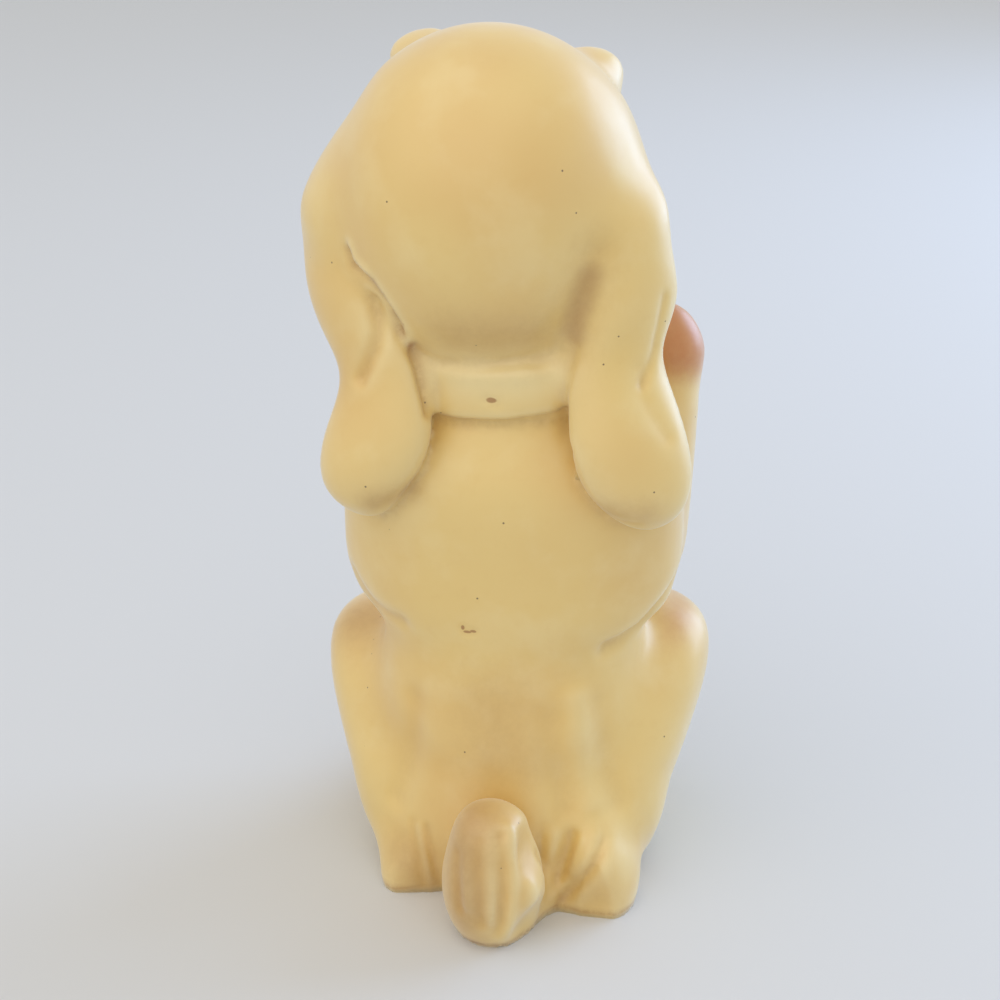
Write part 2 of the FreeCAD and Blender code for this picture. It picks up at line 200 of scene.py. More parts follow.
def fitted(rounds):
    """Rounds of smoothing that reach as far on these cells as the given ones do on the fine cells."""
    return max(1, round(rounds * (FINE_CELL / CELL) ** 2))


def falloff(distance, reach):
    """1 at no distance, easing to 0 at reach."""
    share = np.clip(1 - distance / reach, 0, 1)
    return share * share * (3 - 2 * share)


def distance_to_points(points, seeds, margin=15, chunk=4000):
    """Distance from each point to the nearest seed, worked out within a margin round the seeds only."""
    low, high = seeds.min(0) - margin, seeds.max(0) + margin
    near = np.flatnonzero(np.all((points > low) & (points < high), axis=1))
    distance = np.full(len(points), FAR)
    for start in range(0, len(near), chunk):
        part = near[start : start + chunk]
        gaps = points[part][:, None, :] - seeds[None, :, :]
        distance[part] = np.sqrt((gaps**2).sum(2).min(1))
    return distance


def distance_to_path(points, path):
    """Distance from each point to a line through the corners of path."""
    path = np.array(path, float)
    best = np.full(len(points), np.inf)
    for a, b in zip(path[:-1], path[1:]):
        along = b - a
        share = np.clip((points - a) @ along / (along @ along), 0, 1)
        best = np.minimum(best, ((points - a - share[:, None] * along) ** 2).sum(1))
    return np.sqrt(best)


# Places below lie on the skin of the solids, under the marks that the photograph shows.

# Lumps added where the mould leaves plaster between the forms: centre and radii.
PELLETS = [
    ((-7.8, 22.5, 0.0), (5.8, 9.8, 10.0)),
    ((-14.0, 22.0, 0.0), (4.5, 5.2, 9.0)),
    ((-8.8, 36.0, 13.0), (4.0, 4.5, 6.0)),
    ((12.0, 20.5, 1.0), (5.0, 3.2, 9.0)),
    ((13.6, 13.0, 109.0), (2.6, 3.4, 6.5)),
    ((-13.4, 12.5, 110.5), (2.6, 3.4, 6.5)),
    ((3.3, -31.5, 125.5), (5.5, 6.0, 7.5)),
]

# Places to relax after the drags: the place, how far the relaxing reaches, and its rounds.
RELAXED = [
    ((3.3, -37.0, 126.0), 11.0, 70),
    ((-12.0, 35.0, 14.0), 5.0, 14),
    ((-12.5, 26.0, 3.0), 8.0, 40),
    ((12.5, 22.0, 4.0), 9.0, 60),
    ((16.1, -17.0, 165.0), 12.0, 30),
    ((-13.7, -17.0, 162.0), 12.0, 30),
    ((-3.5, 36.0, 29.0), 10.0, 20),
]

# Where the casting leaves the plain forms: the place, how far the drag reaches, and the drag.
PULLS = [
    ((18.3, -16.4, 164.0), 12.0, (-2.2, 0.0, 2.0)),
    ((-11.7, -16.4, 162.5), 12.0, (-2.0, 0.0, -0.5)),
    ((-3.5, 35.0, 34.0), 13.0, (0.0, 0.0, -4.2)),
    ((-12.5, 36.0, 22.0), 9.0, (3.0, 0.0, 0.0)),
    ((-12.0, 37.5, 4.5), 8.0, (2.6, 0.0, 0.0)),
    ((31.0, 14.0, 10.0), 15.0, (1.4, 0.0, 0.0)),
    ((27.0, 20.0, 2.0), 14.0, (2.0, 0.8, 0.0)),
    ((-33.0, 12.0, 12.0), 15.0, (-2.4, 0.0, 0.0)),
    ((-28.0, 22.0, 4.0), 12.0, (-1.4, 0.0, 0.0)),
    ((-34.0, -22.0, 108.0), 18.0, (-0.8, 0.0, 0.0)),
]

# Forms that run into each other: two groups of solids, reach of the fillet, rounds of smoothing and, where only
# a part of the join is soft, its lowest and highest level.
SOFT_JOINS = [
    (["head"], ["left_brow", "right_brow"], 7.0, 90),
    (["head"], ["muzzle", "chin"], 5.0, 50),
    (["muzzle"], ["chin"], 2.5, 8),
    (["body_shell"], ["left_haunch", "right_haunch"], 13.0, 220, -10.0, 48.0),
    (["body_shell"], ["left_haunch", "right_haunch"], 5.0, 30, 48.0, 70.0),
    (["body_shell"], ["left_foreleg", "right_foreleg"], 5.0, 50),
    (["left_foreleg"], ["left_forepaw"], 6.0, 60),
    (["right_foreleg"], ["right_forepaw"], 6.0, 60),
    (["left_haunch"], ["left_hind_foot"], 7.0, 90),
    (["right_haunch"], ["right_hind_foot"], 5.0, 60),
    (["body_shell"], ["left_hind_foot", "right_hind_foot"], 5.0, 50),
    (["body_shell"], ["tail"], 2.5, 12),
    (["head"], ["left_ear"], 13.0, 240, 142.0, 170.0),
    (["head"], ["left_ear"], 3.0, 8, 100.0, 142.0),
    (["head"], ["right_ear"], 13.0, 240, 138.0, 170.0),
    (["head"], ["right_ear"], 8.0, 90, 100.0, 138.0),
    (["body_shell"], ["left_ear", "right_ear"], 1.8, 5),
    (["collar"], ["left_ear", "right_ear"], 3.0, 20),
    (["collar"], ["head"], 2.5, 12),
]

# Strokes of the modelling tool: half width, depth (below zero is a raised line) and the path.
LEFT_CREASE = [
    (27.0, 16.0, 135.6), (26.1, 16.3, 133.1), (24.0, 17.8, 131.9), (22.1, 19.0, 130.8),
    (20.4, 19.3, 128.5), (18.8, 19.1, 125.8), (17.4, 18.2, 122.9), (16.5, 15.6, 119.0),
    (15.3, 16.4, 116.5), (14.2, 17.0, 114.0), (12.9, 18.1, 109.7), (11.9, 18.8, 105.6),
]
LEFT_FLASH = [
    (26.7, 16.5, 136.4), (25.5, 17.1, 133.7), (23.2, 18.8, 132.6), (20.9, 19.6, 129.9),
    (18.3, 19.6, 126.4), (16.6, 18.2, 122.4), (15.8, 16.0, 117.9),
]
LEFT_FOLD = [
    (22.3, 16.9, 126.5), (21.7, 17.5, 123.2), (21.4, 18.3, 120.2), (22.2, 18.7, 117.3),
    (23.6, 18.7, 114.5), (24.9, 18.6, 111.6),
]
RIGHT_HOLLOW = [
    (-18.9, 17.9, 137.3), (-18.0, 17.8, 133.5), (-16.8, 17.6, 129.6), (-15.6, 16.9, 125.5),
    (-15.0, 17.2, 121.7), (-14.5, 17.5, 118.9),
]
RIGHT_RIM = [
    (-31.3, 11.8, 128.0), (-30.6, 12.5, 122.9), (-29.8, 13.0, 118.2), (-29.1, 14.7, 115.2),
    (-28.3, 16.7, 112.6),
]
RIGHT_RIM_LOW = [
    (-27.8, 16.0, 115.0), (-28.0, 17.4, 111.8), (-29.6, 18.0, 108.6), (-31.6, 18.3, 105.4),
    (-33.0, 18.2, 103.2),
]
RIGHT_LOBE = [
    (-14.6, 17.8, 119.9), (-13.6, 17.7, 115.4), (-13.6, 18.1, 112.2), (-13.6, 15.0, 106.7),
    (-13.5, 13.7, 101.5), (-14.8, 21.1, 100.0), (-16.3, 22.4, 96.2), (-18.4, 22.3, 91.9),
    (-21.2, 21.5, 88.2), (-24.5, 21.4, 86.3), (-28.0, 21.0, 86.6),
]
COLLAR_TOP = [
    (12.6, 13.0, 112.2), (10.6, 15.0, 112.4), (5.3, 17.7, 112.6), (-0.5, 18.6, 113.0),
    (-6.1, 18.1, 113.4), (-10.5, 15.9, 113.9),
]
COLLAR_LOW = [
    (15.2, 11.5, 103.0), (11.6, 14.4, 102.7), (7.4, 16.1, 102.5), (2.4, 17.4, 102.9),
    (-2.4, 17.7, 103.3), (-7.1, 17.3, 104.1), (-11.7, 16.0, 104.8), (-13.8, 15.0, 105.4),
]
RIGHT_HEEL = [
    (-23.4, 22.3, 21.0), (-24.0, 23.3, 17.4), (-22.8, 25.2, 14.6), (-21.2, 26.4, 11.4),
    (-19.2, 26.6, 8.4), (-16.8, 26.0, 5.0), (-14.4, 25.5, 1.5),
]
BARREL_RIGHT = [
    (-35.0, 2.0, 66.0), (-33.8, 5.0, 63.6), (-31.7, 7.5, 61.0), (-28.7, 8.8, 57.4),
    (-25.6, 11.2, 55.6), (-22.6, 13.6, 55.0),
]
# Under the flews, from the middle of the muzzle to the corners of the mouth.
MOUTH_LEFT = [
    (3.3, -38.0, 118.6), (6.3, -38.0, 116.6), (9.8, -37.2, 115.8), (13.6, -33.8, 116.6),
    (17.0, -28.0, 119.6), (18.6, -22.5, 123.5),
]
MOUTH_RIGHT = [(6.6 - x, y, z) for x, y, z in MOUTH_LEFT]
STROKES = [
    (1.3, 1.2, LEFT_CREASE),
    (0.9, -1.0, LEFT_FLASH),
    (1.5, 1.2, LEFT_FOLD),
    (4.0, 0.9, RIGHT_HOLLOW),
    (1.0, 0.6, RIGHT_RIM),
    (1.9, 0.5, RIGHT_RIM_LOW),
    (1.3, 0.4, RIGHT_LOBE),
    (1.2, -0.4, COLLAR_TOP),
    (1.1, 0.9, COLLAR_LOW),
    # chip in the collar and nick in the small of the back
    (0.9, 0.5, [(1.1, 18.4, 108.7), (-1.0, 18.5, 107.8)]),
    (0.7, 0.4, [(5.8, 19.9, 61.1), (5.2, 19.9, 60.0), (4.2, 20.0, 59.7), (3.2, 20.2, 60.4)]),
    # where the thighs part from the rump
    (3.2, 1.0, [
        (16.3, 16.7, 41.9), (16.6, 17.7, 35.5), (17.7, 17.9, 29.6), (19.2, 17.6, 24.5),
        (20.5, 17.9, 19.7),
    ]),
    (3.0, -0.9, [
        (-16.5, 17.4, 45.3), (-17.2, 17.9, 39.9), (-18.2, 18.4, 34.5), (-19.1, 18.7, 28.9),
        (-20.1, 18.9, 23.2),
    ]),
    (3.2, 0.7, [(-21.5, 15.4, 43.5), (-22.9, 15.9, 35.0), (-24.5, 16.3, 28.4), (-25.8, 16.5, 22.8)]),
    (3.0, 0.6, [(-11.8, 19.4, 41.5), (-12.6, 20.4, 35.0), (-13.8, 20.8, 28.4), (-15.0, 21.0, 22.8)]),
    # folds under the barrel
    (2.0, 0.9, [
        (30.9, 6.9, 64.9), (28.9, 8.9, 62.4), (26.0, 10.7, 59.7), (22.7, 13.0, 58.6),
        (19.3, 15.3, 58.6),
    ]),
    (2.0, 1.5, BARREL_RIGHT),
    # fur on the heels and beside the tail
    (1.5, 1.4, RIGHT_HEEL),
    (1.2, 0.7, [(16.6, 22.1, 15.8), (15.2, 23.9, 10.7), (14.4, 24.3, 6.7), (13.6, 24.3, 2.6)]),
    (1.2, -0.5, [(14.9, 22.1, 14.8), (13.9, 23.9, 9.7), (13.0, 24.3, 5.7), (12.3, 24.3, 2.0)]),
    (1.1, 0.6, [(13.3, 22.2, 15.2), (12.3, 22.9, 10.8), (11.4, 23.5, 6.9), (10.8, 23.5, 2.5)]),
    (1.1, -0.4, [(-9.4, 22.8, 18.5), (-9.6, 23.5, 13.0), (-9.8, 24.0, 9.0)]),
    (1.2, 0.9, [(-10.7, 22.6, 18.5), (-10.5, 23.5, 15.6), (-10.3, 24.3, 12.0)]),
    (1.3, -0.5, [(-13.6, 22.8, 17.0), (-12.9, 23.8, 12.0), (-12.2, 24.4, 7.0)]),
    (1.3, 0.9, [(-16.9, 22.8, 16.8), (-16.4, 23.5, 14.0), (-15.2, 24.3, 10.0), (-14.0, 24.5, 6.0)]),
    (1.2, -0.5, [(-19.0, 22.8, 16.0), (-18.2, 23.8, 13.0), (-17.0, 24.6, 10.0)]),
    # combed fur of the tail
    (1.1, 0.6, [(2.8, 39.2, 21.5), (3.2, 40.6, 16.5), (2.8, 41.3, 10.2)]),
    (1.0, -0.4, [(0.9, 39.4, 23.9), (1.0, 41.3, 18.5), (0.6, 42.2, 11.2)]),
    (1.1, 0.8, [(-0.9, 39.6, 25.0), (-1.0, 41.4, 20.3), (-1.4, 42.6, 13.3), (-1.6, 42.9, 7.4)]),
    (1.0, -0.4, [(-3.0, 39.0, 26.0), (-3.3, 41.4, 20.3), (-3.8, 42.6, 14.3), (-3.9, 42.9, 8.4)]),
    (1.2, 0.9, [
        (-4.9, 39.0, 26.0), (-5.6, 41.0, 20.3), (-5.9, 41.9, 15.2), (-5.6, 42.5, 8.6),
        (-5.2, 42.6, 4.5),
    ]),
    (1.4, -0.5, [
        (-6.6, 37.6, 27.0), (-7.3, 39.6, 21.5), (-7.6, 41.0, 15.5), (-7.2, 41.6, 8.0),
        (-6.6, 41.6, 3.5),
    ]),
    # where the spur of the tail meets the rump
    (1.2, 0.8, [(-11.5, 31.0, 17.5), (-12.2, 30.5, 12.0), (-11.0, 30.0, 6.0), (-9.5, 30.0, 2.0)]),
]

# Brown painted shade under the back of the head, in the hollow by the right ear, on the shaded left of the tail
# and the left knee, between the haunches and round the heels, with some grime under the ear lobes: reach,
# strength and path.
SHADE_AND_STAINS = [
    (9.0, 0.45, [(6.0, 22.0, 121.0), (-7.0, 20.0, 121.5)]),
    (8.0, 0.28, RIGHT_HOLLOW),
    (3.8, 0.62, RIGHT_HOLLOW[1:5]),
    (4.5, 0.50, [(22.0, 22.3, 88.0), (16.5, 20.0, 90.0)]),
    (4.5, 0.50, [(-23.0, 21.5, 89.5), (-29.0, 20.5, 89.5)]),
    (9.0, 0.62, [(0.5, 36.0, 30.0), (3.0, 42.0, 20.0), (3.0, 43.0, 8.0)]),
    (5.0, 0.45, [(4.0, 36.0, 29.0), (6.0, 38.0, 24.0)]),
    (6.0, 0.36, [(-16.0, 26.0, 3.0), (-22.0, 26.0, 6.0), (-18.0, 25.5, 8.0)]),
    (10.0, 0.55, [(32.0, 2.0, 55.0), (34.0, -6.0, 49.0)]),
    (8.0, 0.50, [(18.0, 24.0, 9.0), (13.0, 25.0, 2.0)]),
    (12.0, 0.36, [(0.0, 20.0, 44.0), (-2.0, 22.0, 34.0)]),
]

# Paler where the sealer is thin on the mould flash, and painted light on the collar's top and on the lit right
# edges
# of the ear and the haunch: reach, strength and path.
PALE_AND_PAINTED_LIGHT = [
    (6.0, 1.0, COLLAR_TOP),
    (1.8, 1.0, LEFT_FLASH),
    (4.0, 0.7, [(-36.0, 12.0, 118.0), (-38.0, 12.0, 100.0)]),
    (5.0, 0.6, [(-27.0, 24.0, 28.0), (-27.0, 22.0, 10.0)]),
]

# Chips and nicks: centre and radii. The radii are long in y, through the skin.
SPOTS = [
    ((0.1, 18.5, 108.4), (1.1, 2.5, 0.6)),
    ((5.7, 20.0, 60.9), (0.4, 2.5, 0.6)),
    ((4.8, 20.0, 60.0), (0.9, 2.5, 0.35)),
    ((3.6, 20.0, 60.3), (0.7, 2.5, 0.35)),
]

# Grime and painted shade in the tooled lines and under the collar's edge: reach, strength and path.
GRIME_AND_SHADE_LINES = [
    (1.0, 0.8, LEFT_CREASE),
    (1.0, 0.35, COLLAR_LOW),
    (1.0, 0.35, RIGHT_HEEL),
    (1.2, 0.30, BARREL_RIGHT[3:]),
    (0.7, 0.7, MOUTH_LEFT),
    (0.7, 0.7, MOUTH_RIGHT),
    (0.6, 0.5, [(3.3, -42.5, 130.0), (3.3, -42.0, 118.0)]),
]


# Grooves between the toes, as steps back from the front: up from the floor on a foot, down from the top on a paw.
FOOT_GROOVE = [(0.0, 1.0), (0.8, 6.0), (4.0, 10.5), (10.0, 13.5)]
PAW_GROOVE = [(0.0, 13.0), (0.5, 8.0), (4.0, 2.5)]
# From the middle toe to the groove on each side of it, and how far a foot's middle toe lies outward.
FOOT_TOE, PAW_TOE, TOES_OUTWARD = 3.4, 2.8, 1.5


def toe_lines():
    """Strokes between the toes of each foot and paw, placed in the box of its solid."""
    lines = []
    for side, outward in (("left", 1), ("right", -1)):
        low, high = (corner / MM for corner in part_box(f"{side}_hind_foot"))
        middle = (low.x + high.x) / 2 + outward * TOES_OUTWARD
        for x in (middle - FOOT_TOE, middle + FOOT_TOE):
            lines.append((0.9, 1.0, [(x, low.y + back, up) for back, up in FOOT_GROOVE]))
        low, high = (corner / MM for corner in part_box(f"{side}_forepaw"))
        middle = (low.x + high.x) / 2
        for x in (middle - PAW_TOE, middle + PAW_TOE):
            lines.append((0.8, 0.8, [(x, low.y + back, high.z - down) for back, down in PAW_GROOVE]))
    return lines


# Where the split under the nose meets the mouth.
MOUTH_TOP = 118.5
# Whisker pits: out from the middle of the muzzle, and down. The flews bend back by MUZZLE_BEND times out squared.
WHISKER_PITS = [(6.5, 0.0), (9.5, 1.5), (8.0, 4.0), (11.0, 5.0)]
MUZZLE_BEND = 0.06
# The rim round an eye, as a share of the eye's own size, and the lid above it, as a share of the rim's.
EYE_RIM = 1.12
LID_WIDTH, LID_HEIGHT = 1.5, 1.42
RIM_CORNERS = 20


def face_lines():
    """The mouth, the split under the nose, whisker pits, and the rims and lids of the eyes."""
    low, high = (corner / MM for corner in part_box("muzzle"))
    nose_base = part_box("nose")[0].z / MM
    middle = (low.x + high.x) / 2
    split = [(middle, low.y, nose_base + 2), (middle, low.y - 1, nose_base - 4), (middle, low.y, MOUTH_TOP)]
    lines = [(1.0, 1.2, MOUTH_LEFT), (1.0, 1.2, MOUTH_RIGHT), (0.9, 1.1, split)]
    for side in (-1, 1):
        for out, down in WHISKER_PITS:
            x, y, z = middle + side * out, low.y + MUZZLE_BEND * out**2 - 0.5, nose_base - 1.5 - down
            lines.append((0.7, 0.45, [(x, y, z), (x, y + 1.5, z)]))
    for name in ("left_eye", "right_eye"):
        low, high = (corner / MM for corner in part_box(name))
        centre, half = (low + high) / 2, (high - low) / 2 * EYE_RIM
        turns = [2 * math.pi * i / RIM_CORNERS for i in range(RIM_CORNERS + 1)]
        rim = [(centre.x + half.x * math.cos(t), high.y - 1.2, centre.z + half.z * math.sin(t)) for t in turns]
        lines.append((1.3, -0.8, rim))
        upper = rim[1 : RIM_CORNERS // 2]
        lid = [
            (centre.x + LID_WIDTH * (x - centre.x), y + 0.8, centre.z + LID_HEIGHT * (z - centre.z))
            for x, y, z in upper
        ]
        lines.append((1.0, 0.8, lid))
    return lines


# Points this near the table stand on it: before the forms are softened, and at the end.
STANDING, SETTLED = 0.5, 0.35


def sculpted_clay():
    """The lump of clay, softened, drawn out and tooled as the plaster is, and flat where it stands."""
    clay = Clay(melted_clay())
    clay.even_out(rounds=4)
    standing = clay.points[:, 2] < STANDING
    for first, second, reach, rounds, *levels in SOFT_JOINS:
        clay.smooth(clay.near_join(first, second, reach, *levels), fitted(rounds))
    clay.pull(PULLS)
    for place, reach, rounds in RELAXED:
        share = falloff(np.linalg.norm(clay.points - np.array(place), axis=1), reach)
        clay.smooth(share, fitted(rounds))
    clay.tool(STROKES + toe_lines() + face_lines())
    # a damp sponge over all of it
    clay.smooth(np.full(len(clay.points), 0.5), rounds=2)
    clay.points[standing | (clay.points[:, 2] < SETTLED), 2] = 0
    return clay


def painted_along(clay, lines):
    """The strongest of the marks that each line leaves on each point."""
    mark = np.zeros(len(clay.points))
    for reach, strength, path in lines:
        mark = np.maximum(mark, strength * np.exp(-((distance_to_path(clay.points, path) / reach) ** 2)))
    return mark


# Tan on the paws, and half as strong on the knees and the toes of the hind feet.
PAW_TAN, LIGHT_TAN = 0.86, 0.5
# The knees: their height, how far out they lie, and the reach of the tan there.
KNEE_HEIGHT, KNEE_SIDE, KNEE_REACH = 53, 35, 9
# The toes: their front, and how far back and up the tan reaches from it.
TOE_FRONT, TOE_DEPTH, TOE_HEIGHT = -40, 10, 14
# Darker along the foot of the figure: height and strength. Skin that faces down more than this is the underside.
FOOT_LINE, FOOT_DARKENING, UNDERSIDE = 2.6, 1.1, -0.6
# Grime and painted shade for each millimetre of hollow, its most, and how far a ridge stands out where it is
# rubbed bare.
HOLLOW_GRIME_AND_SHADE, MOST_HOLLOW_GRIME_AND_SHADE, BARE_RIDGE = 0.5, 0.22, 0.6


def marks(clay, outward):
    """Marks for the paint on each point: grime and painted shade in creases, rubbed ridges and painted light,
    blown-on tan, and brown painted shade with some stains.
    """
    broad = clay.points.copy()
    for _ in range(fitted(24)):
        broad += 0.5 * (clay.mean_of(broad) - broad)
    hollow = ((broad - clay.points) * outward).sum(1)
    x, y, z = clay.points.T
    paws = [CLAY_NODES.index(n) for n in ("left_forepaw", "right_forepaw")]
    tan = np.isin(clay.owner, paws).astype(float)
    for _ in range(fitted(60)):
        tan = 0.5 * tan + 0.5 * clay.mean_of(tan)
    knees = falloff(np.abs(z - KNEE_HEIGHT), KNEE_REACH) * falloff(np.abs(np.abs(x) - KNEE_SIDE), KNEE_REACH)
    toes = falloff(np.maximum(y - TOE_FRONT, 0), TOE_DEPTH) * falloff(z, TOE_HEIGHT)
    # Darker along the foot, and in the hollows and tooled lines as painted shade and grime.
    foot = falloff(z, FOOT_LINE) * (outward[:, 2] > UNDERSIDE)
    creases = np.clip(HOLLOW_GRIME_AND_SHADE * hollow, 0, MOST_HOLLOW_GRIME_AND_SHADE) + painted_along(clay, GRIME_AND_SHADE_LINES)
    return {
        "grime_and_shade": creases + FOOT_DARKENING * foot,
        "rubbed": np.maximum(np.clip(-hollow / BARE_RIDGE, 0, 1), painted_along(clay, PALE_AND_PAINTED_LIGHT)),
        "tan": np.maximum(PAW_TAN * tan, LIGHT_TAN * np.maximum(knees, toes)),
        "shade_and_stain": painted_along(clay, SHADE_AND_STAINS),
    }


def parted(clay):
    """Parts the casting into one closed piece per solid. Each keeps the shading of the whole skin."""
    outward = clay.normals()
    layers = {**marks(clay, outward), "skin": outward}
    for name, values in layers.items():
        kind = "FLOAT_VECTOR" if values.ndim == 2 else "FLOAT"
        layer = clay.mesh.attributes.new(name, kind, "POINT")
        layer.data.foreach_set("vector" if values.ndim == 2 else "value", values.astype(np.float32).ravel())
    pieces = {}
    for index, name in enumerate(CLAY_NODES):
        patch = bmesh.new()
        patch.from_mesh(clay.mesh)
        mine = clay.owner == index
        others = [f for f in patch.faces if not mine[f.verts[0].index]]
        bmesh.ops.delete(patch, geom=others, context="FACES")
        mesh = bpy.data.meshes.new(name)
        patch.to_mesh(mesh)
        patch.free()
        pieces[name] = walled(name, mesh)
    return pieces


def walled(name, patch):
    """A closed piece: the patch of skin, a wall behind it and the rim between them."""
    holder = bpy.data.objects.new(name, patch)
    bpy.context.scene.collection.objects.link(holder)
    wall = holder.modifiers.new("wall", "SOLIDIFY")
    wall.thickness = PIECE_WALL * MM
    wall.offset = -1
    outside = len(patch.vertices)
    mesh = applied(holder)
    bpy.data.objects.remove(holder)
    places = np.zeros(len(mesh.vertices) * 3, np.float32)
    mesh.vertices.foreach_get("co", places)
    places[2::3] = np.maximum(places[2::3], 0)
    mesh.vertices.foreach_set("co", places)
    # the wall's inside faces the other way
    skin = np.zeros(len(mesh.vertices) * 3, np.float32)
    mesh.attributes["skin"].data.foreach_get("vector", skin)
    skin = skin.reshape(-1, 3)
    skin[outside:] *= -1
    mesh.attributes.remove(mesh.attributes["skin"])
    mesh.normals_split_custom_set_from_vertices(skin)
    piece = bpy.data.objects.new(f"cast_{name}", mesh)
    bpy.context.scene.collection.objects.link(piece)
    return piece


# Paint


def linear(code):
    """Linear colour of an sRGB hex code."""
    channels = [int(code[i : i + 2], 16) / 255 for i in (1, 3, 5)]
    return (*[c / 12.92 if c <= 0.04045 else ((c + 0.055) / 1.055) ** 2.4 for c in channels], 1)


def add_node(tree, kind, inputs=None, output=0, **settings):
    """Adds a node with its settings and links, and gives one of its outputs.

    An input is a number, a colour or another node's output.
    """
    made = tree.nodes.new("ShaderNode" + kind)
    for key, value in settings.items():
        setattr(made, key, value)
    for key, value in (inputs or {}).items():
        if isinstance(value, bpy.types.NodeSocket):
            tree.links.new(value, made.inputs[key])
        else:
            made.inputs[key].default_value = value
    return made.outputs[output] if made.outputs else None


def per_size(size):
    """Scale of a pattern whose blotches or cells are about size millimetres."""
    return 1 / (size * MM)


def new_material(name):
    """An empty material, and the function that adds nodes to it."""
    material = bpy.data.materials.new(name)
    material.use_nodes = True
    material.node_tree.nodes.clear()
    return material, functools.partial(add_node, material.node_tree)


# Settings of a Mix node for colours, whose inputs are 0, 6 and 7 and whose output is 2, and of a soft step.
COLOURS = {"output": 2, "data_type": "RGBA"}
SOFT = {"interpolation_type": "SMOOTHSTEP"}

# Tones of the plaster, read off the photograph: the sealer where it is even, thick and thin (the thin one also
# painted light), the blown-on tan, brown painted shade and stain, grime and painted shade, and the dark of a
# pinhole.
CREAM, HONEY, CHALK_AND_LIGHT = "#E9CA7E", "#DCB165", "#F4E2AA"
TAN, SHADE_AND_STAIN_BROWN, DIRT_AND_SHADE, DARK = "#C07032", "#A8783A", "#9C6428", "#4A2E18"
# Unevenness of the sealer: size, detail and roughness of its noise, soft step from and to, strength and tone.
CLOUDS = [
    (45, 2, 0.5, 0.38, 0.66, 0.55, HONEY),
    (12, 4, 0.5, 0.45, 0.75, 0.25, CHALK_AND_LIGHT),
    (3.5, 5, 0.6, 0.50, 0.80, 0.14, HONEY),
]
# Colour blown on, and brown painted shade with some stain: its mark on the clay, how much it is broken up, soft
# step from and to, tone.
SOAKED = [
    ("tan", 0.25, 0.20, 1.15, TAN),
    ("shade_and_stain", 0.20, 0.15, 1.10, SHADE_AND_STAIN_BROWN),
]
PINHOLE_SPACING = 2.6


